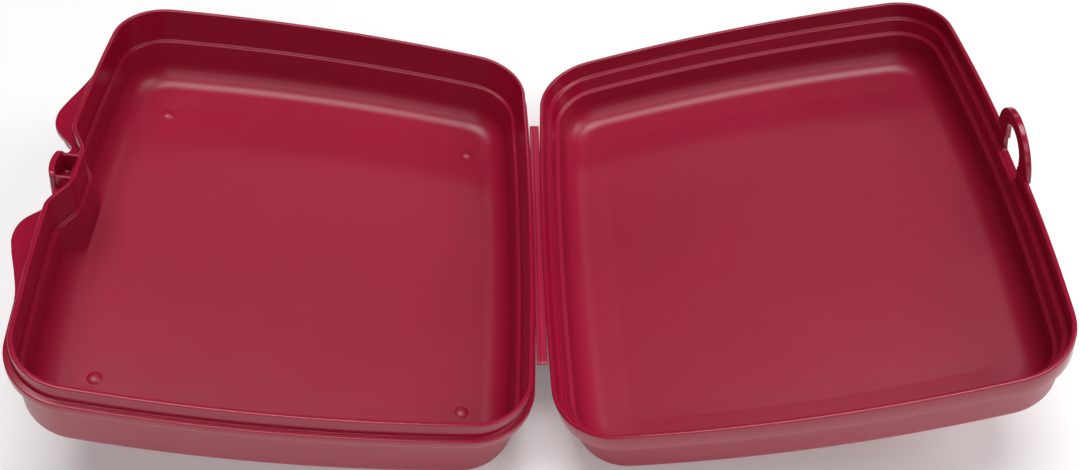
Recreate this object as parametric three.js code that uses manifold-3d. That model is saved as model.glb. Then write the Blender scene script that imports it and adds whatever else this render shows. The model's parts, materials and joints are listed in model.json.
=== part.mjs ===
// Clamshell lunch box in one moulding: a base tray with a sealing collar and a lid tray with a
// skirt, joined along the back by a living hinge, closed at the front by a tab that snaps over a nose.
// It stands open in a shallow V on the two trays' hinge-side edges. Millimetres, +Z up.
//
// Each half is drawn in its own frame before it is tilted: x runs from the hinge line to the front,
// y runs along the hinge and z stands on the rim plane. The base is then turned to face the lid.
import * as THREE from 'three';
import { LoftGeometry } from 'three/addons/geometries/LoftGeometry.js';
import { mergeVertices } from 'three/addons/utils/BufferGeometryUtils.js';
import Module from 'manifold-3d';

const wasm = await Module();
wasm.setup();

// Plan of a half: four shallow arcs and round corners
const halfWidth = 71.9;
const halfLength = 80;
const frontBow = 4.44;
const rearBow = 2.2;
const endBow = 4.64;
const cornerRadius = 19.7;
const leastCorner = 5;
const hingeGap = 1.05;
const midX = hingeGap + halfWidth;

// Opening
const tilt = THREE.MathUtils.degToRad(12.683);
const seam = 0.3;
const face = 0.15;

// Walls and floors, as insets from the plan and heights from the rim plane
const wall = 1.3;
const collarInset = 1.755;
const collarInner = collarInset + wall;
const collarHeight = 5.3;
const flangeDepth = 3.2;
const baseLedge = -7;
const skirtDepth = 5.25;
const shoulderDepth = 6.6;
const lidStepTop = -10;
const lidStep = -10.8;
const outerTop = 1.7;
const outerFoot = 3.1;
const innerFoot = 5.1;
const outerFillet = 5.5;
const innerFillet = 7.2;
const verge = -22.4;
const vergeWidth = 0.5;
const foot = -24.1;
const footWidth = 2.4;
const panelInset = 19.5;
const panelFloor = -22.7;
const panelUnder = -23.9;

// Front of the base: the wall bends in behind the nose, and the flange stops for the tab
const bayDepth = 4.8;
const bayFlat = 5;
const bayEnd = 17;
const notchDepth = 2.5;
const notchFlat = 11.5;
const notchEnd = 15.5;

// Latch
const tabHalfWidth = 12.8;
const tabHeight = 13.3;
const tabInner = 143.57;
const tabThickness = 2;
const windowHalfWidth = 6.2;
const windowTop = 8.8;
const windowBottom = -8;
const noseFront = 145.3;
const noseBow = 13;
const noseHalfWidth = 5.2;
const noseWall = 1.7;
const noseTop = 5.2;
const noseBottom = -8;
const noseCorner = 1.4;
const noseFoot = 5;
const noseStep = 142.7;
const webAcross = 4.5;
const webBack = 138.65;
const webTop = 4.3;

// Grips, studs and hinge
const earThickness = 2.05;
const earTip = 149.75;
const earEnd = 46;
const earStart = 14.6;
const studRadius = 2.3;
const studHeight = 0.8;
const studCentreX = midX - 1.75;
const studX = 51.75;
const studY = 53.9;
const hingeHalfLength = 49.5;
const hingeThickness = 0.8;
const hingeSlit = 0.2;

const plastic = (name) => new THREE.MeshStandardMaterial({ name, color: 0x9e2439, roughness: 0.42, metalness: 0 });

const arcRadius = (half, bow) => (half * half + bow * bow) / (2 * bow);

// The four side arcs, counterclockwise from the front, about the middle of the half
const frontRadius = arcRadius(halfLength, frontBow);
const rearRadius = arcRadius(halfLength, rearBow);
const endRadius = arcRadius(halfWidth, endBow);
const sides = [
  { centre: new THREE.Vector2(halfWidth - frontRadius, 0), radius: frontRadius, steps: 26 },
  { centre: new THREE.Vector2(0, halfLength - endRadius), radius: endRadius, steps: 10 },
  { centre: new THREE.Vector2(rearRadius - halfWidth, 0), radius: rearRadius, steps: 10 },
  { centre: new THREE.Vector2(0, endRadius - halfLength), radius: endRadius, steps: 10 },
];
const quadrants = [[1, 1], [-1, 1], [-1, -1], [1, -1]];
const cornerSteps = 6;

// Centre of a circle that touches two larger ones from inside, in one quadrant
function cornerCentre(first, firstReach, second, secondReach, [signX, signY]) {
  const between = second.clone().sub(first);
  const distance = between.length();
  const along = (firstReach ** 2 - secondReach ** 2 + distance ** 2) / (2 * distance);
  const across = Math.sqrt(firstReach ** 2 - along ** 2);
  const direction = between.normalize();
  const foot = first.clone().addScaledVector(direction, along);
  const normal = new THREE.Vector2(-direction.y, direction.x);
  return [across, -across]
    .map((reach) => foot.clone().addScaledVector(normal, reach))
    .find((point) => point.x * signX > 0 && point.y * signY > 0);
}

// Points of an arc between two angles, the shorter way round
function arcPoints(centre, radius, from, to, steps, inner) {
  const turn = Math.atan2(Math.sin(to - from), Math.cos(to - from));
  const first = inner ? 1 : 0;
  const last = inner ? steps - 1 : steps;
  const points = [];
  for (let k = first; k <= last; k++) {
    const angle = from + (turn * k) / steps;
    points.push(new THREE.Vector2(Math.cos(angle), Math.sin(angle)).multiplyScalar(radius).add(centre));
  }
  return points;
}

// One contour of a half at an inset and a height; the middle of the front may bend inwards
function contour({ inset, z, bend = 0, flat = bayFlat, end = bayEnd }) {
  const radius = Math.max(cornerRadius - inset, leastCorner);
  const reach = sides.map((side) => side.radius - inset);
  const centres = quadrants.map((quadrant, i) => {
    const next = (i + 1) % 4;
    return cornerCentre(sides[i].centre, reach[i] - radius, sides[next].centre, reach[next] - radius, quadrant);
  });
  const points = centres.flatMap((centre, i) => {
    const next = sides[(i + 1) % 4];
    const from = centre.clone().sub(sides[i].centre).angle();
    const to = centre.clone().sub(next.centre).angle();
    const onward = centres[(i + 1) % 4].clone().sub(next.centre).angle();
    return [
      ...arcPoints(centre, radius, from, to, cornerSteps, false),
      ...arcPoints(next.centre, next.radius - inset, to, onward, next.steps, true),
    ];
  });
  return points.map(({ x, y }) => {
    const bent = x > 0 ? bend * (1 - THREE.MathUtils.smoothstep(Math.abs(y), flat, end)) : 0;
    return new THREE.Vector3(x + midX - bent, y, z);
  });
}

// Quarter round from a wall down to a level, as inset and height; a bent wall stays upright down to it
function fillet(inset, z, radius, steps, bend) {
  return Array.from({ length: steps + 1 }, (_, k) => {
    const angle = (Math.PI / 2) * (k / steps);
    const across = inset + radius * (1 - Math.cos(angle));
    return { inset: across, z: z - radius * Math.sin(angle), bend: Math.max(0, bend - across + inset) };
  });
}

const volume = (geometry) => {
  const position = geometry.getAttribute('position');
  const corner = (i) => new THREE.Vector3().fromBufferAttribute(position, geometry.index.getX(i));
  let six = 0;
  for (let i = 0; i < geometry.index.count; i += 3) {
    six += corner(i).dot(corner(i + 1).cross(corner(i + 2)));
  }
  return six / 6;
};

// Closed mesh with shared vertices and outward faces
function closed(geometry) {
  geometry.deleteAttribute('normal');
  geometry.deleteAttribute('uv');
  const merged = mergeVertices(geometry, 1e-4);
  if (volume(merged) < 0) {
    const index = merged.index;
    for (let i = 0; i < index.count; i += 3) {
      const first = index.getX(i);
      index.setX(i, index.getX(i + 1));
      index.setX(i + 1, first);
    }
  }
  return merged;
}

function solid(geometry) {
  const mesh = closed(geometry);
  return new wasm.Manifold(new wasm.Mesh({
    numProp: 3,
    vertProperties: new Float32Array(mesh.getAttribute('position').array),
    triVerts: new Uint32Array(mesh.index.array),
  }));
}

function fromSolid(manifold) {
  const { vertProperties, triVerts } = manifold.getMesh();
  const geometry = new THREE.BufferGeometry();
  geometry.setAttribute('position', new THREE.BufferAttribute(vertProperties, 3));
  geometry.setIndex(new THREE.BufferAttribute(triVerts, 1));
  return geometry;
}

// A ring is lofted round its profile, ending on the section it began with
function ring(rows) {
  const loft = new LoftGeometry([...rows, rows[0]].map(contour));
  return new THREE.BufferGeometry().copy(loft);
}

// A tray is the ring of its wall and floor verge, with the flat floor panel filling the middle
function tray(rows) {
  const edge = contour({ inset: panelInset, z: 0 }).map(({ x, y }) => new THREE.Vector2(x, y));
  const panel = planExtrusion(new THREE.Shape(edge), panelUnder, panelFloor - panelUnder);
  return fromSolid(solid(ring(rows)).add(solid(panel)));
}

const floorRows = (bend) => [
  { inset: panelInset, z: panelFloor },
  { inset: innerFoot + innerFillet + vergeWidth, z: verge },
  ...fillet(innerFoot, verge + innerFillet, innerFillet, 4, bend).reverse(),
];

const underRows = (bend) => [
  ...fillet(outerFoot, foot + outerFillet, outerFillet, 4, bend),
  { inset: outerFoot + outerFillet + footWidth, z: foot },
  { inset: panelInset, z: panelUnder },
];

function baseTray() {
  const top = -flangeDepth - seam;
  return tray([
    ...floorRows(bayDepth),
    { inset: collarInner + 1.25, z: baseLedge, bend: bayDepth },
    { inset: collarInner, z: baseLedge, bend: bayDepth },
    { inset: collarInner, z: top, bend: bayDepth },
    { inset: outerTop, z: top, bend: bayDepth },
    ...underRows(bayDepth),
  ]);
}

function shoulderFlange() {
  const notch = { bend: notchDepth, flat: notchFlat, end: notchEnd };
  return ring([
    { inset: 0, z: -face, ...notch },
    { inset: collarInner, z: -face, bend: bayDepth },
    { inset: collarInner, z: -flangeDepth, bend: bayDepth },
    { inset: 0, z: -flangeDepth, ...notch },
  ]);
}

const sealingCollar = () => ring([
  { inset: collarInset, z: face, bend: bayDepth },
  { inset: collarInset, z: collarHeight, bend: bayDepth },
  { inset: collarInner, z: collarHeight, bend: bayDepth },
  { inset: collarInner, z: face, bend: bayDepth },
]);

const toFront = new THREE.Matrix4().makeBasis(
  new THREE.Vector3(0, 1, 0), new THREE.Vector3(0, 0, 1), new THREE.Vector3(1, 0, 0));

// A shape drawn on the front of the box, y across and z up, given depth along x
function frontExtrusion(shape, from, depth) {
  const geometry = new THREE.ExtrudeGeometry(shape, { depth, bevelEnabled: false, curveSegments: 10 });
  return geometry.applyMatrix4(toFront).translate(from, 0, 0);
}

// A shape drawn in plan, given height along z
function planExtrusion(shape, from, height) {
  return new THREE.ExtrudeGeometry(shape, { depth: height, bevelEnabled: false, curveSegments: 8 }).translate(0, 0, from);
}

function windowShape() {
  const shape = new THREE.Shape();
  const corner = 2;
  shape.moveTo(-windowHalfWidth, windowBottom + corner);
  shape.absarc(corner - windowHalfWidth, windowBottom + corner, corner, Math.PI, 1.5 * Math.PI);
  shape.absarc(windowHalfWidth - corner, windowBottom + corner, corner, -Math.PI / 2, 0);
  shape.absarc(0, windowTop - windowHalfWidth, windowHalfWidth, 0, Math.PI);
  return shape;
}

const latchWindow = () => solid(frontExtrusion(windowShape(), tabInner - 8, 14));

const cutWindow = (geometry) => fromSolid(solid(geometry).subtract(latchWindow()));

const lidSkirt = () => cutWindow(ring([
  { inset: 0, z: 0 },
  { inset: wall, z: 0 },
  { inset: wall, z: -skirtDepth },
  { inset: 0, z: -skirtDepth },
]));

const lidShoulder = () => ring([
  { inset: 0, z: -skirtDepth - seam },
  { inset: 3, z: -skirtDepth - seam },
  { inset: 3, z: -shoulderDepth },
  { inset: 0, z: -shoulderDepth },
]);

function lidTray() {
  const top = -shoulderDepth - seam;
  return tray([
    ...floorRows(0),
    { inset: innerFoot - 0.1, z: lidStep },
    { inset: 3.7, z: lidStepTop },
    { inset: 3.1, z: top },
    { inset: outerTop, z: top },
    ...underRows(0),
  ]);
}

// The tab is a half-ellipse standing on the rim, cut by the window
function latchTab() {
  const shape = new THREE.Shape();
  shape.moveTo(tabHalfWidth, seam);
  shape.absellipse(0, seam, tabHalfWidth, tabHeight - seam, 0, Math.PI, false, 0);
  shape.lineTo(tabHalfWidth, seam);
  return cutWindow(frontExtrusion(shape, tabInner, tabThickness));
}

// The nose is a bowed tongue with a round foot, stepped back to the flange and held by two webs
function catchNose() {
  const bow = (y) => (y * y) / (2 * noseBow);
  const plan = new THREE.Shape();
  const across = Array.from({ length: 9 }, (_, k) => noseHalfWidth * (k / 4 - 1));
  across.forEach((y, k) => (k ? plan.lineTo(noseFront - bow(y), y) : plan.moveTo(noseFront - bow(y), y)));
  across.reverse().forEach((y) => plan.lineTo(noseFront - noseWall - bow(y), y));
  plan.closePath();
  const outline = new THREE.Shape();
  outline.absarc(noseHalfWidth - noseCorner, noseTop - noseCorner, noseCorner, 0, Math.PI / 2);
  outline.absarc(noseCorner - noseHalfWidth, noseTop - noseCorner, noseCorner, Math.PI / 2, Math.PI);
  outline.absarc(noseFoot - noseHalfWidth, noseBottom + noseFoot, noseFoot, Math.PI, 1.5 * Math.PI);
  outline.absarc(noseHalfWidth - noseFoot, noseBottom + noseFoot, noseFoot, 1.5 * Math.PI, 2 * Math.PI);
  const tongue = solid(planExtrusion(plan, noseBottom, noseTop - noseBottom))
    .intersect(solid(frontExtrusion(outline, noseStep, tabThickness * 2)));
  const stepDepth = noseFront - noseWall / 2 - bow(noseHalfWidth) - noseStep;
  const step = new THREE.BoxGeometry(stepDepth, 2 * noseHalfWidth - 1, flangeDepth - face)
    .translate(noseStep + stepDepth / 2, 0, -(flangeDepth + face) / 2);
  const webs = [-1, 1].map((side) => {
    const reach = noseFront - noseWall - bow(webAcross) + 0.4 - webBack;
    return solid(new THREE.BoxGeometry(reach, 1, webTop - seam / 2)
      .translate(webBack + reach / 2, side * webAcross, (webTop + seam / 2) / 2));
  });
  return fromSolid(tongue.add(solid(step)).add(webs[0]).add(webs[1]));
}

// Grip ears lie in the flange plane, one on each side of the latch
function gripEar(side) {
  const reach = frontRadius + seam;
  const centre = hingeGap + 2 * halfWidth - frontRadius;
  const edge = (y) => centre + Math.sqrt(reach * reach - y * y);
  const shape = new THREE.Shape();
  shape.moveTo(edge(earEnd), side * earEnd);
  shape.bezierCurveTo(144.6, side * 38, earTip, side * 31, earTip, side * 24.5);
  shape.bezierCurveTo(earTip, side * 20.5, 146.6, side * 15.6, edge(earStart) + 0.25, side * earStart);
  for (let k = 0; k < 8; k++) {
    const y = THREE.MathUtils.lerp(earStart, earEnd, k / 8);
    shape.lineTo(edge(y), side * y);
  }
  shape.closePath();
  return planExtrusion(shape, -face - earThickness, earThickness);
}

function floorStud(signX, signY) {
  const profile = Array.from({ length: 6 }, (_, k) => {
    const angle = (Math.PI / 2) * (k / 5);
    return new THREE.Vector2(studRadius * Math.cos(angle), studHeight * Math.sin(angle));
  });
  profile[5].x = 0;
  return new THREE.LatheGeometry([new THREE.Vector2(0, 0), ...profile], 16)
    .rotateX(Math.PI / 2)
    .translate(studCentreX + signX * studX, signY * studY, panelFloor + seam);
}

// Half of the living hinge, from the fold line to the back edge of its tray
function hingeLeaf() {
  const reach = rearRadius + seam;
  const edge = (y) => hingeGap + rearRadius - Math.sqrt(reach * reach - y * y);
  const shape = new THREE.Shape();
  shape.moveTo(hingeSlit, -hingeHalfLength);
  for (let k = 0; k <= 10; k++) {
    const y = hingeHalfLength * (k / 5 - 1);
    shape.lineTo(edge(y), y);
  }
  shape.lineTo(hingeSlit, hingeHalfLength);
  shape.closePath();
  return planExtrusion(shape, -face - hingeThickness, hingeThickness);
}

function addPiece(group, name, geometry) {
  const mesh = new THREE.Mesh(closed(geometry), plastic(name));
  mesh.name = name;
  group.add(mesh);
}

const base = new THREE.Group();
addPiece(base, 'base_tray', baseTray());
addPiece(base, 'shoulder_flange', shoulderFlange());
addPiece(base, 'sealing_collar', sealingCollar());
addPiece(base, 'catch_nose', catchNose());
addPiece(base, 'grip_ear_left', gripEar(-1));
addPiece(base, 'grip_ear_right', gripEar(1));
addPiece(base, 'hinge_leaf_base', hingeLeaf());
quadrants.forEach(([signX, signY], i) => addPiece(base, `floor_stud_${i + 1}`, floorStud(signX, signY)));

const lid = new THREE.Group();
addPiece(lid, 'lid_tray', lidTray());
addPiece(lid, 'lid_shoulder', lidShoulder());
addPiece(lid, 'lid_skirt', lidSkirt());
addPiece(lid, 'latch_tab', latchTab());
addPiece(lid, 'hinge_leaf_lid', hingeLeaf());

// The base faces the other way; both halves then rise from the hinge line
base.rotation.z = Math.PI;
const baseHalf = new THREE.Group();
baseHalf.rotation.y = tilt;
baseHalf.add(base);
lid.rotation.y = -tilt;

const lunchBox = new THREE.Group();
lunchBox.add(baseHalf, lid);

// Origin at the middle of the footprint, on the surface it stands on
lunchBox.updateMatrixWorld(true);
const bounds = new THREE.Box3().setFromObject(lunchBox, true);
const middle = bounds.getCenter(new THREE.Vector3());
lunchBox.position.set(-middle.x, -middle.y, -bounds.min.z);

export default lunchBox;
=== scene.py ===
import bpy
import bmesh
import json
import math
from mathutils import Matrix, Vector


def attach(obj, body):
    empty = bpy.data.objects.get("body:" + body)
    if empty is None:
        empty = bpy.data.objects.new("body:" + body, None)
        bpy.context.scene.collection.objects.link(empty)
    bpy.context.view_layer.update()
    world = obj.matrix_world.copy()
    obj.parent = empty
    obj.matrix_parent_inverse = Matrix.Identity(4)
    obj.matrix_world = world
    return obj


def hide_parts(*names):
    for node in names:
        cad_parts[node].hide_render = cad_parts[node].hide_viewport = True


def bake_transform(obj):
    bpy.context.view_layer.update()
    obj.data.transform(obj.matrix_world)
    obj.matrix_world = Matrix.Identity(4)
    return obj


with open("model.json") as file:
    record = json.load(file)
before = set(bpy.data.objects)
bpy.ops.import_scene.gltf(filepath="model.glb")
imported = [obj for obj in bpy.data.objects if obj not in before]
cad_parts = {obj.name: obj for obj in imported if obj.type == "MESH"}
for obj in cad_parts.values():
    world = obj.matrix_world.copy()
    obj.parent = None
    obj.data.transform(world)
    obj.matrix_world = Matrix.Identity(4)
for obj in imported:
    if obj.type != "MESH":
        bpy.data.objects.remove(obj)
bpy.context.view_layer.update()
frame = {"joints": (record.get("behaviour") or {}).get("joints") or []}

# everything is drawn from the fold line, which the hinge joint gives
foldLine = Vector(next(j for j in frame["joints"] if j["name"] == "lid_hinge")["pos_m"])

# Each half is drawn in millimetres in its own frame, x out from the fold line, y along it, z up
# from the rim plane, and then scaled, tilted and turned into place.
plan = {
    "halfWidth": 71.9,
    "halfLength": 80.0,
    "frontBow": 4.44,
    "rearBow": 2.2,
    "endBow": 4.64,
    "corner": 19.7,
    "leastCorner": 5.0,
    "hingeGap": 1.05,
    "tilt": 12.683,
    "cornerSteps": 16,
    "endSteps": 30,
    "frontSteps": 132,
}
millimetre = 0.001
middleX = plan["hingeGap"] + plan["halfWidth"]
tilt = math.radians(plan["tilt"])


def bowRadius(half, bow):
    return (half * half + bow * bow) / (2 * bow)


frontRadius = bowRadius(plan["halfLength"], plan["frontBow"])
rearRadius = bowRadius(plan["halfLength"], plan["rearBow"])
endRadius = bowRadius(plan["halfWidth"], plan["endBow"])
sideArcs = [
    (Vector((plan["halfWidth"] - frontRadius, 0)), frontRadius, plan["frontSteps"]),
    (Vector((0, plan["halfLength"] - endRadius)), endRadius, plan["endSteps"]),
    (Vector((rearRadius - plan["halfWidth"], 0)), rearRadius, plan["endSteps"]),
    (Vector((0, endRadius - plan["halfLength"])), endRadius, plan["endSteps"]),
]


quadrants = [(1, 1), (-1, 1), (-1, -1), (1, -1)]


def deselect():
    if bpy.context.object and bpy.context.object.mode != "OBJECT":
        bpy.ops.object.mode_set(mode="OBJECT")
    bpy.ops.object.select_all(action="DESELECT")


def pick(obj):
    deselect()
    obj.select_set(True)
    bpy.context.view_layer.objects.active = obj


def addModifier(obj, kind, **settings):
    pick(obj)
    bpy.ops.object.modifier_add(type=kind)
    modifier = obj.modifiers[-1]
    for key, value in settings.items():
        setattr(modifier, key, value)
    bpy.ops.object.modifier_apply(modifier=modifier.name)


def smoothStep(value, low, high):
    t = min(max((value - low) / (high - low), 0.0), 1.0)
    return t * t * (3 - 2 * t)


def alongTable(table, x):  # straight lines between the points of a short table
    if x <= table[0][0]:
        return table[0][1]
    for (x0, y0), (x1, y1) in zip(table, table[1:]):
        if x <= x1:
            return y0 + (y1 - y0) * (x - x0) / (x1 - x0)
    return table[-1][1]


# ---- plan of a half
def cornerCentre(a, reachA, b, reachB, quadrant):
    between = b - a
    distance = between.length
    along = (reachA**2 - reachB**2 + distance**2) / (2 * distance)
    across = math.sqrt(reachA**2 - along**2)
    way = between.normalized()
    foot = a + way * along
    square = Vector((-way.y, way.x)) * across
    return next(p for p in (foot + square, foot - square) if p.x * quadrant[0] > 0 and p.y * quadrant[1] > 0)


def arcPoints(centre, radius, start, stop, first, last, steps):
    turn = math.atan2(math.sin(stop - start), math.cos(stop - start))
    angles = [start + turn * k / steps for k in range(first, last + 1)]
    return [centre + Vector((math.cos(a), math.sin(a))) * radius for a in angles]


def heading(v):
    return math.atan2(v.y, v.x)


def planLine(inset):  # the outline of a half, moved inwards
    radius = max(plan["corner"] - inset, plan["leastCorner"])
    reach = [r - inset - radius for _, r, _ in sideArcs]
    centres = []
    for i, quadrant in enumerate(quadrants):
        j = (i + 1) % 4
        centres.append(cornerCentre(sideArcs[i][0], reach[i], sideArcs[j][0], reach[j], quadrant))
    line = []
    for i, centre in enumerate(centres):
        side, sideRadius, steps = sideArcs[(i + 1) % 4]
        start = heading(centre - sideArcs[i][0])
        stop = heading(centre - side)
        onward = heading(centres[(i + 1) % 4] - side)
        line += arcPoints(centre, radius, start, stop, 0, plan["cornerSteps"], plan["cornerSteps"])
        line += arcPoints(side, sideRadius - inset, stop, onward, 1, steps - 1, steps)
    return [(p.x + middleX, p.y, p.x > 0) for p in line]


planLines = {}


def rowPoints(row):  # one row of a wall: inset, height, and the bay and grips at the front of the base
    inset = round(row["inset"], 4)
    if inset not in planLines:
        planLines[inset] = planLine(inset)
    points = []
    for x, y, front in planLines[inset]:
        z = row["z"]
        if front:
            side = abs(y)
            x -= row.get("bend", 0) * (1 - smoothStep(side, row.get("flat", 5), row.get("end", 17)))
            ear = row.get("ear", 0) * alongTable(grip["reach"], side)
            x += ear
            z += row.get("earLift", 0) * smoothStep(ear, 0.1, 1.2)
        points.append(Vector((x, y, z)))
    return points


def roundedProfile(corners, steps=4):  # corners as inset, height, radius, extras
    rows = []
    for i, corner in enumerate(corners):
        extras = corner[3] if len(corner) > 3 else {}
        p = Vector(corner[:2])
        radius = corner[2]
        if radius <= 0 or i in (0, len(corners) - 1):
            rows.append({"inset": p.x, "z": p.y, **extras})
            continue
        before = (Vector(corners[i - 1][:2]) - p).normalized()
        after = (Vector(corners[i + 1][:2]) - p).normalized()
        half = before.angle(after) / 2
        centre = p + (before + after).normalized() * radius / math.sin(half)
        a = heading(p + before * radius / math.tan(half) - centre)
        b = heading(p + after * radius / math.tan(half) - centre)
        count = steps if radius < 2 else steps * 3
        for q in arcPoints(centre, radius, a, b, 0, count, count):
            rows.append({"inset": q.x, "z": q.y, **extras})
    return rows


def drawShell(name, rows):  # a circle shaped to the first row and extruded row by row
    deselect()
    bpy.ops.mesh.primitive_circle_add(vertices=len(rowPoints(rows[0])), radius=plan["halfWidth"])
    shell = bpy.context.object
    shell.name = name
    shell.data.name = name
    bpy.ops.object.mode_set(mode="EDIT")
    mesh = bmesh.from_edit_mesh(shell.data)
    spot = mesh.verts.layers.int.new("spot")
    for i, (v, p) in enumerate(zip(mesh.verts, rowPoints(rows[0]))):
        v[spot] = i
        v.co = p
    bpy.ops.mesh.select_all(action="SELECT")
    bpy.ops.mesh.edge_face_add()
    bpy.ops.mesh.select_all(action="DESELECT")
    mesh = bmesh.from_edit_mesh(shell.data)
    for e in mesh.edges:
        e.select_set(e.is_boundary)
    bmesh.update_edit_mesh(shell.data)
    for row in rows[1:]:
        bpy.ops.mesh.extrude_edges_move()
        mesh = bmesh.from_edit_mesh(shell.data)
        spot = mesh.verts.layers.int["spot"]
        points = rowPoints(row)
        for v in mesh.verts:
            if v.select:
                v.co = points[v[spot]]
        bmesh.update_edit_mesh(shell.data)
    bpy.ops.mesh.edge_face_add()
    bpy.ops.mesh.select_all(action="SELECT")
    bpy.ops.mesh.remove_doubles(threshold=0.001)
    bpy.ops.mesh.normals_make_consistent(inside=False)
    bpy.ops.object.mode_set(mode="OBJECT")
    return shell


def placeHalf(obj, half):  # from millimetres in the half's frame to its place in the open box
    if half == "base":
        turn = Matrix.Rotation(tilt, 4, "Y") @ Matrix.Rotation(math.pi, 4, "Z")
    else:
        turn = Matrix.Rotation(-tilt, 4, "Y")
    obj.matrix_world = Matrix.Translation(foldLine) @ turn @ Matrix.Diagonal((*[millimetre] * 3, 1))
    pick(obj)
    bpy.ops.object.transform_apply(location=True, rotation=True, scale=True)


def shadeSoft(obj, degrees=32):
    pick(obj)
    bpy.ops.object.shade_smooth_by_angle(angle=math.radians(degrees))


# ---- camera
view = {
    "fromFold": (-4.166, -233.925, 265.774),
    "down": 48.725,
    "towardsLid": 1.188,
    "roll": -0.511,
    "lens": 37.478,
    "sensor": 36,
    "clipStart": 0.01,
}


def setCamera():
    down = math.radians(view["down"])
    aside = math.radians(view["towardsLid"])
    roll = math.radians(view["roll"])
    ahead = Vector((math.sin(aside) * math.cos(down), math.cos(aside) * math.cos(down), -math.sin(down)))
    right = Vector((math.cos(aside), -math.sin(aside), 0))
    up = right.cross(ahead)
    rolledRight = right * math.cos(roll) + up * math.sin(roll)
    rolledUp = up * math.cos(roll) - right * math.sin(roll)
    bpy.ops.object.camera_add()
    camera = bpy.context.object
    camera.name = "camera"
    turned = Matrix((rolledRight, rolledUp, -ahead)).transposed().to_4x4()
    camera.matrix_world = Matrix.Translation(foldLine + Vector(view["fromFold"]) * millimetre) @ turned
    camera.data.sensor_width = view["sensor"]
    camera.data.sensor_fit = "HORIZONTAL"
    camera.data.lens = view["lens"]
    camera.data.clip_start = view["clipStart"]
    bpy.context.scene.camera = camera


# ---- plastic
finish = {
    "colour": (0.352, 0.0062, 0.036),
    "deep": (0.322, 0.005, 0.031),
    "roughness": 0.36,
    "roughnessSpread": 0.07,
    "grainScale": 2600,
    "grainDepth": 0.10,
    "rippleScale": 55,
    "rippleDepth": 0.05,
    "cloudScale": 14,
    "specular": 0.5,
    "polishedFrom": -8.0,
}


def plasticMaterial(name, **changes):
    use = {**finish, **changes}
    material = bpy.data.materials.new(name)
    material.use_nodes = True
    nodes = material.node_tree.nodes
    link = material.node_tree.links.new
    shader = nodes["Principled BSDF"]
    shader.inputs["Specular IOR Level"].default_value = use["specular"]
    shader.inputs["IOR"].default_value = 1.49
    where = nodes.new("ShaderNodeTexCoord")

    def noise(scale, detail, roughness=0.5):
        node = nodes.new("ShaderNodeTexNoise")
        node.inputs["Scale"].default_value = scale
        node.inputs["Detail"].default_value = detail
        node.inputs["Roughness"].default_value = roughness
        link(where.outputs["Object"], node.inputs["Vector"])
        return node

    cloud = noise(use["cloudScale"], 4)  # faint swirls of pigment
    tone = nodes.new("ShaderNodeValToRGB")
    tone.color_ramp.elements[0].position = 0.35
    tone.color_ramp.elements[0].color = (*use["deep"], 1)
    tone.color_ramp.elements[1].position = 0.65
    tone.color_ramp.elements[1].color = (*use["colour"], 1)
    link(cloud.outputs["Fac"], tone.inputs["Fac"])
    link(tone.outputs["Color"], shader.inputs["Base Color"])

    handling = noise(90, 5, 0.6)  # uneven polish from handling
    polish = nodes.new("ShaderNodeMapRange")
    polish.inputs["To Min"].default_value = use["roughness"] - use["roughnessSpread"] / 2
    polish.inputs["To Max"].default_value = use["roughness"] + use["roughnessSpread"] / 2
    link(handling.outputs["Fac"], polish.inputs["Value"])
    link(polish.outputs["Result"], shader.inputs["Roughness"])

    ripple = nodes.new("ShaderNodeBump")  # slight sink of the moulded skin
    ripple.inputs["Strength"].default_value = use["rippleDepth"]
    ripple.inputs["Distance"].default_value = 0.001
    link(noise(use["rippleScale"], 2).outputs["Fac"], ripple.inputs["Height"])
    grain = nodes.new("ShaderNodeBump")  # fine spark grain of the mould
    grain.inputs["Strength"].default_value = use["grainDepth"]
    grain.inputs["Distance"].default_value = 0.0001
    link(noise(use["grainScale"], 3).outputs["Fac"], grain.inputs["Height"])
    link(ripple.outputs["Normal"], grain.inputs["Normal"])
    link(grain.outputs["Normal"], shader.inputs["Normal"])
    return material


def finishPiece(obj, material, *nodes):
    obj.data.materials.clear()
    obj.data.materials.append(material)
    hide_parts(*nodes)


def polishRim(obj, half, material):  # the collar, flange and ledges are glossier than the trays
    way = -1 if half == "base" else 1
    obj.data.materials.append(material)
    for face in obj.data.polygons:
        at = (face.center - foldLine) * 1000
        if at.z * math.cos(tilt) - way * at.x * math.sin(tilt) > finish["polishedFrom"]:
            face.material_index = 1


# ---- base
grip = {  # how far the flange edge stands out of the plan, by the distance from the latch
    "reach": [
        (8.4, -1.5), (9.3, -1.75), (10.4, -2.35), (11.4, -2.3), (12.5, -1.75), (13.4, -0.75),
        (14.6, 0.4), (15.6, 1.35), (16.6, 2.4), (17.7, 3.35), (19.5, 4.4), (21.5, 5.0), (24, 5.3), (26.5, 5.15),
        (31, 3.95), (36, 2.35), (41, 0.95), (44, 0.3), (47, 0),
    ],
}
bay = {"bend": 4.8, "flat": 5, "end": 17}
lowWall = {"below": -14, "innerFoot": 5.05, "outerFoot": 3.1}  # where the bay's bend starts to give way
baseShape = {
    "inside": [
        (62, -22.7, 0), (40, -22.7, 0), (19.5, -22.7, 6.0), (12.9, -22.4, 0),
        (5.05, -22.4, 7.2), (4.35, -7.0, 0.4), (3.05, -7.0, 0.4),
    ],
    "collar": [(3.05, 5.3, 0.42), (1.755, 5.3, 0.42), (1.755, -0.15, 0.25)],
    "flange": [
        (0, -0.15, 0.35, {"ear": 1}), (0, -3.2, 0.35, {"ear": 1, "earLift": 1.0}), (1.7, -3.35, 0.3, bay),
    ],
    "outside": [(3.1, -24.1, 5.5), (11.0, -24.1, 3.0), (19.5, -23.9, 6.0), (40, -23.9, 0), (62, -23.9, 0)],
}
pocket = {"from": (140.2, -4.0, -2.4), "to": (143.1, 4.0, 1.5), "rounding": 0.9}  # sunk in the flange behind the nose
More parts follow.
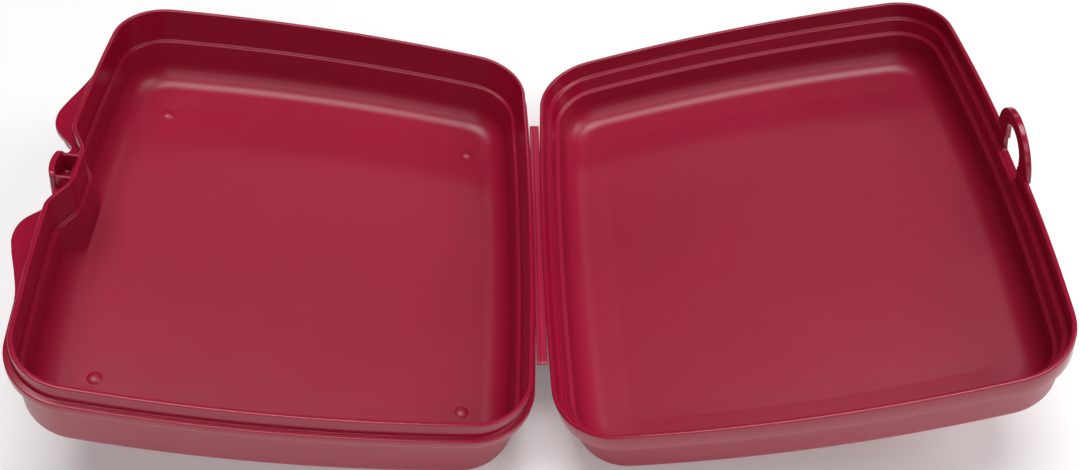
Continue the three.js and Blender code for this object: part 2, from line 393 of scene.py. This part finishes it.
web = {"from": (137.8, 4.0, -0.5), "to": (144.2, 5.0, 4.3), "rounding": 0.3}  # holds one edge of the nose to the collar


def uprightBend(inset, foot):  # the bay wall stays upright until the fillet passes it
    return max(0, bay["bend"] - max(0, inset - foot))


def makeBlock(low, high, rounding):
    deselect()
    bpy.ops.mesh.primitive_cube_add(
        size=1,
        location=[(a + b) / 2 for a, b in zip(low, high)],
        scale=[b - a for a, b in zip(low, high)],
    )
    block = bpy.context.object
    bpy.ops.object.transform_apply(location=True, rotation=True, scale=True)
    addModifier(block, "BEVEL", width=rounding, segments=4)
    return block


def makeBase():
    inside = [(*c, bay) for c in baseShape["inside"] + baseShape["collar"]]
    outside = [(*c, bay) for c in baseShape["outside"]]
    rows = roundedProfile(inside + baseShape["flange"] + outside)
    foot = lowWall["innerFoot"]
    for row in rows:
        if row["z"] > 0:  # over the rim, so the rest of the rows are outside
            foot = lowWall["outerFoot"]
        if row["z"] < lowWall["below"]:
            row["bend"] = uprightBend(row["inset"], foot)
    shell = drawShell("baseShell", rows)
    cutter = makeBlock(pocket["from"], pocket["to"], pocket["rounding"])
    addModifier(shell, "BOOLEAN", operation="DIFFERENCE", solver="EXACT", object=cutter)
    bpy.data.objects.remove(cutter)
    shadeSoft(shell)
    placeHalf(shell, "base")
    return shell


nose = {
    "front": 145.3, "wall": 1.7, "halfWidth": 5.2, "top": 5.2, "bottom": -8,
    "corner": 1.3, "foot": 4.9, "bow": 13, "cuts": 9, "rounding": 0.35,
}


def makeNose():
    deselect()
    height = nose["top"] - nose["bottom"]
    bpy.ops.mesh.primitive_cube_add(
        size=1,
        location=(nose["front"] - nose["wall"] / 2, 0, nose["bottom"] + height / 2),
        scale=(nose["wall"], 2 * nose["halfWidth"], height),
    )
    tongue = bpy.context.object
    tongue.name = "catchNose"
    bpy.ops.object.transform_apply(location=True, rotation=True, scale=True)
    bpy.ops.object.mode_set(mode="EDIT")
    bpy.ops.mesh.select_all(action="DESELECT")
    for level, radius in ((nose["top"], nose["corner"]), (nose["bottom"], nose["foot"])):
        mesh = bmesh.from_edit_mesh(tongue.data)
        for e in mesh.edges:
            a, b = e.verts
            e.select_set(abs(a.co.z - level) < 0.1 and abs(b.co.z - level) < 0.1 and abs(a.co.x - b.co.x) > 1)
        bmesh.update_edit_mesh(tongue.data)
        bpy.ops.mesh.bevel(offset=radius, segments=8)
        bpy.ops.mesh.select_all(action="DESELECT")
    for k in range(1, nose["cuts"]):
        bpy.ops.mesh.select_all(action="SELECT")
        y = nose["halfWidth"] * (2 * k / nose["cuts"] - 1)
        bpy.ops.mesh.bisect(plane_co=(0, y, 0), plane_no=(0, 1, 0))
    mesh = bmesh.from_edit_mesh(tongue.data)
    for v in mesh.verts:
        v.co.x -= v.co.y**2 / (2 * nose["bow"])
    bmesh.update_edit_mesh(tongue.data)
    bpy.ops.object.mode_set(mode="OBJECT")
    sharp = math.radians(40)
    addModifier(tongue, "BEVEL", width=nose["rounding"], segments=3, limit_method="ANGLE", angle_limit=sharp)
    low, high = web["from"], web["to"]
    webs = [
        makeBlock(low, high, web["rounding"]),
        makeBlock((low[0], -high[1], low[2]), (high[0], -low[1], high[2]), web["rounding"]),
    ]
    deselect()
    for obj in (*webs, tongue):
        obj.select_set(True)
    bpy.context.view_layer.objects.active = tongue
    bpy.ops.object.join()
    shadeSoft(tongue, 40)
    placeHalf(tongue, "base")
    return tongue


stud = {  # a cap cut off a sphere and pressed flatter
    "radius": 2.8, "cut": 1.75, "squash": 0.75,
    "x": 51.75, "y": 53.9, "floor": -22.72, "centreX": middleX - 1.75,
}


def makeStuds():
    deselect()
    bpy.ops.mesh.primitive_uv_sphere_add(segments=32, ring_count=20, radius=stud["radius"])
    first = bpy.context.object
    bpy.ops.object.mode_set(mode="EDIT")
    bpy.ops.mesh.select_all(action="SELECT")
    bpy.ops.mesh.bisect(plane_co=(0, 0, stud["cut"]), plane_no=(0, 0, 1), use_fill=True, clear_inner=True)
    bpy.ops.mesh.select_all(action="SELECT")
    bpy.ops.transform.translate(value=(0, 0, -stud["cut"]))
    bpy.ops.transform.resize(value=(1, 1, stud["squash"]), center_override=(0, 0, 0))
    bpy.ops.mesh.normals_make_consistent(inside=False)
    bpy.ops.object.mode_set(mode="OBJECT")
    studs = [first]
    for k in range(3):
        pick(first)
        bpy.ops.object.duplicate()
        studs.append(bpy.context.object)
    for k, (obj, (signX, signY)) in enumerate(zip(studs, quadrants)):
        obj.name = f"floorStud{k + 1}"
        pick(obj)
        place = (stud["centreX"] + signX * stud["x"], signY * stud["y"], stud["floor"])
        bpy.ops.transform.translate(value=place)
        bpy.ops.object.transform_apply(location=True, rotation=True, scale=True)
        shadeSoft(obj, 50)
        placeHalf(obj, "base")
    return studs


# ---- lid
lidShape = {
    "inside": [
        (62, -22.7, 0), (40, -22.7, 0), (19.5, -22.7, 6.0), (12.9, -22.4, 0),
        (5.1, -22.4, 7.2), (4.8, -10.8, 0.4), (3.65, -10.0, 0.4),
        (3.05, -5.6, 0.3), (2.75, -5.4, 0.15), (2.45, -5.6, 0.1),
        (2.05, -5.6, 0.1), (1.75, -5.38, 0.15), (1.3, -5.6, 0.15),
    ],
    "skirt": [(1.3, 0, 0.42), (0, 0, 0.42), (0, -6.6, 0.35), (1.8, -6.75, 0.3)],
    "outside": [(3.1, -24.1, 5.5), (11.0, -24.1, 3.0), (19.5, -23.9, 6.0), (40, -23.9, 0), (62, -23.9, 0)],
}
latch = {
    "halfWidth": 12.8, "height": 13.3, "inner": 143.6, "wall": 1.95, "foot": -1.3, "round": 0.45,
    "windowHalf": 6.2, "windowTop": 8.8, "windowBottom": -5.45, "windowCorner": 0.6,
    "cutFrom": 136, "cutDepth": 14,
}


def makeTab():  # half an ellipse on edge, with its foot inside the skirt
    deselect()
    bpy.ops.mesh.primitive_circle_add(
        vertices=96, radius=1, fill_type="NGON", location=(latch["inner"], 0, 0), rotation=(0, math.pi / 2, 0)
    )
    tab = bpy.context.object
    tab.name = "latchTab"
    tab.scale = (latch["height"], latch["halfWidth"], 1)
    bpy.ops.object.transform_apply(location=True, rotation=True, scale=True)
    bpy.ops.object.mode_set(mode="EDIT")
    bpy.ops.mesh.select_all(action="SELECT")
    bpy.ops.mesh.bisect(plane_co=(0, 0, 0.01), plane_no=(0, 0, 1), clear_inner=True)
    mesh = bmesh.from_edit_mesh(tab.data)
    for v in mesh.verts:
        if v.co.z < 0.1:
            v.co.z = latch["foot"]
    bmesh.update_edit_mesh(tab.data)
    bpy.ops.mesh.select_all(action="SELECT")
    bpy.ops.mesh.extrude_region_move(TRANSFORM_OT_translate={"value": (latch["wall"], 0, 0)})
    bpy.ops.mesh.select_all(action="SELECT")
    bpy.ops.mesh.normals_make_consistent(inside=False)
    bpy.ops.object.mode_set(mode="OBJECT")
    return tab


def makeWindow():  # the cutter for the latch window
    half, corner = latch["windowHalf"], latch["windowCorner"]
    deselect()
    bpy.ops.mesh.primitive_plane_add(size=1, location=(latch["cutFrom"], 0, 0), rotation=(0, math.pi / 2, 0))
    cutter = bpy.context.object
    cutter.scale = (latch["windowTop"] - latch["windowBottom"], 2 * half, 1)
    cutter.location.z = (latch["windowTop"] + latch["windowBottom"]) / 2
    bpy.ops.object.transform_apply(location=True, rotation=True, scale=True)
    bpy.ops.object.mode_set(mode="EDIT")
    for top, radius, segments in ((True, half - 0.05, 20), (False, corner, 8)):
        bpy.ops.mesh.select_all(action="DESELECT")
        mesh = bmesh.from_edit_mesh(cutter.data)
        height = max(v.co.z for v in mesh.verts) if top else min(v.co.z for v in mesh.verts)
        for v in mesh.verts:
            v.select_set(abs(v.co.z - height) < 0.01)
        bmesh.update_edit_mesh(cutter.data)
        bpy.ops.mesh.bevel(offset=radius, segments=segments, affect="VERTICES")
    bpy.ops.mesh.select_all(action="SELECT")
    bpy.ops.mesh.extrude_region_move(TRANSFORM_OT_translate={"value": (latch["cutDepth"], 0, 0)})
    bpy.ops.mesh.select_all(action="SELECT")
    bpy.ops.mesh.normals_make_consistent(inside=False)
    bpy.ops.object.mode_set(mode="OBJECT")
    return cutter


def makeLid():
    shell = drawShell("lidShell", roundedProfile(lidShape["inside"] + lidShape["skirt"] + lidShape["outside"]))
    tab = makeTab()
    window = makeWindow()
    addModifier(tab, "BOOLEAN", operation="DIFFERENCE", solver="EXACT", object=window)
    sharp = math.radians(50)
    addModifier(tab, "BEVEL", width=latch["round"], segments=4, limit_method="ANGLE", angle_limit=sharp)
    addModifier(shell, "BOOLEAN", operation="DIFFERENCE", solver="EXACT", object=window)
    addModifier(shell, "BOOLEAN", operation="UNION", solver="EXACT", object=tab)
    for tool in (tab, window):
        bpy.data.objects.remove(tool)
    shadeSoft(shell, 38)
    placeHalf(shell, "lid")
    return shell


# ---- living hinge
film = {
    "half": 1.45, "length": 99.0, "thickness": 0.55, "rounding": 0.12,
    "bead": 0.62, "beadHeight": 0.35, "below": 0.55,
}


def makeFilm():
    deselect()
    bpy.ops.mesh.primitive_grid_add(x_subdivisions=28, y_subdivisions=60, size=1)
    strip = bpy.context.object
    strip.name = "hingeFilm"
    strip.scale = (2 * film["half"], film["length"], 1)
    bpy.ops.object.transform_apply(location=True, rotation=True, scale=True)
    bpy.ops.object.mode_set(mode="EDIT")
    mesh = bmesh.from_edit_mesh(strip.data)
    for v in mesh.verts:
        out = abs(v.co.x)
        v.co.z = out * math.sin(tilt) - film["below"]
        if out < film["bead"]:
            v.co.z += film["beadHeight"] * math.cos(out / film["bead"] * math.pi / 2)
    bmesh.update_edit_mesh(strip.data)
    bpy.ops.object.mode_set(mode="OBJECT")
    addModifier(strip, "SOLIDIFY", thickness=film["thickness"], offset=-1)
    sharp = math.radians(60)
    addModifier(strip, "BEVEL", width=film["rounding"], segments=2, limit_method="ANGLE", angle_limit=sharp)
    shadeSoft(strip, 50)
    strip.matrix_world = Matrix.Translation(foldLine) @ Matrix.Diagonal((*[millimetre] * 3, 1))
    pick(strip)
    bpy.ops.object.transform_apply(location=True, rotation=True, scale=True)
    return strip


# ---- floor and lights
studio = {
    "floorSize": 8,
    "floorColour": (0.93, 0.93, 0.93),
    "floorGlow": 0.14,
    "ambient": 0.03,
    "distance": 1.6,  # all lamps, from the box
    "lamps": [  # elevation, turn from the front towards the lid, width and depth in metres, watts
        {"name": "topBox", "high": 84, "around": 180, "size": (1.1, 0.7), "power": 17},
        {"name": "backStrip", "high": 37, "around": 176, "size": (1.0, 0.2), "power": 1.2},
        {"name": "frontBox", "high": 50, "around": 0, "size": (1.2, 0.6), "power": 4.5},
        {"name": "frontLow", "high": 22, "around": 0, "size": (1.2, 0.5), "power": 2.4},
        {"name": "sideBox", "high": 42, "around": 90, "size": (0.8, 0.8), "power": 7},
    ],
}


def makeStudio():
    deselect()
    bpy.ops.mesh.primitive_plane_add(size=studio["floorSize"])
    floor = bpy.context.object
    floor.name = "floor"
    paper = bpy.data.materials.new("whitePaper")
    paper.use_nodes = True
    nodes = paper.node_tree.nodes
    link = paper.node_tree.links.new
    shader = nodes["Principled BSDF"]
    shader.inputs["Roughness"].default_value = 0.85
    shader.inputs["Specular IOR Level"].default_value = 0.1
    fibre = nodes.new("ShaderNodeTexNoise")
    fibre.inputs["Scale"].default_value = 300
    where = nodes.new("ShaderNodeTexCoord")
    link(where.outputs["Object"], fibre.inputs["Vector"])
    tone = nodes.new("ShaderNodeValToRGB")
    tone.color_ramp.elements[0].color = (*[c * 0.98 for c in studio["floorColour"]], 1)
    tone.color_ramp.elements[1].color = (*studio["floorColour"], 1)
    link(fibre.outputs["Fac"], tone.inputs["Fac"])
    link(tone.outputs["Color"], shader.inputs["Base Color"])
    shader.inputs["Emission Color"].default_value = (1, 1, 1, 1)
    shader.inputs["Emission Strength"].default_value = studio["floorGlow"]
    floor.data.materials.append(paper)
    for lamp in studio["lamps"]:
        high, around = math.radians(lamp["high"]), math.radians(lamp["around"])
        way = Vector((math.cos(high) * math.sin(around), -math.cos(high) * math.cos(around), math.sin(high)))
        deselect()
        bpy.ops.object.light_add(type="AREA", location=way * studio["distance"])
        light = bpy.context.object
        light.name = lamp["name"]
        light.data.shape = "RECTANGLE"
        light.data.size, light.data.size_y = lamp["size"]
        light.data.energy = lamp["power"]
        light.rotation_euler = (-way).to_track_quat("-Z", "Y").to_euler()
    world = bpy.data.worlds.new("studio")
    world.use_nodes = True
    world.node_tree.nodes["Background"].inputs["Color"].default_value = (1, 1, 1, 1)
    world.node_tree.nodes["Background"].inputs["Strength"].default_value = studio["ambient"]
    bpy.context.scene.world = world
    bpy.context.scene.view_settings.view_transform = "Standard"


setCamera()
print("camera set")
makeStudio()
print("studio set")

crimson = plasticMaterial("crimsonPlastic")
polished = plasticMaterial("polishedPlastic", roughness=0.19, roughnessSpread=0.04, grainDepth=0.03)
# the hinge film gets a lighter, pinker copy of the plastic colour: a painted highlight along the film, on top of its
# glossier finish
filmHighlightPlastic = plasticMaterial("filmPaintedHighlight", colour=(0.42, 0.016, 0.06), deep=(0.36, 0.009, 0.042), roughness=0.25)

base = makeBase()
finishPiece(base, crimson, "base_tray", "shoulder_flange", "sealing_collar", "grip_ear_left", "grip_ear_right")
polishRim(base, "base", polished)
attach(base, "base")
noseTongue = makeNose()
finishPiece(noseTongue, polished, "catch_nose")
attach(noseTongue, "base")
for number, dome in enumerate(makeStuds(), 1):
    finishPiece(dome, crimson, f"floor_stud_{number}")
    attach(dome, "base")
print("base moulded", len(base.data.polygons))

lid = makeLid()
finishPiece(lid, crimson, "lid_tray", "lid_shoulder", "lid_skirt", "latch_tab")
polishRim(lid, "lid", polished)
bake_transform(lid)
print("lid moulded", len(lid.data.polygons))

strip = makeFilm()
finishPiece(strip, filmHighlightPlastic, "hinge_leaf_base", "hinge_leaf_lid")
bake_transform(strip)
print("hinge made")
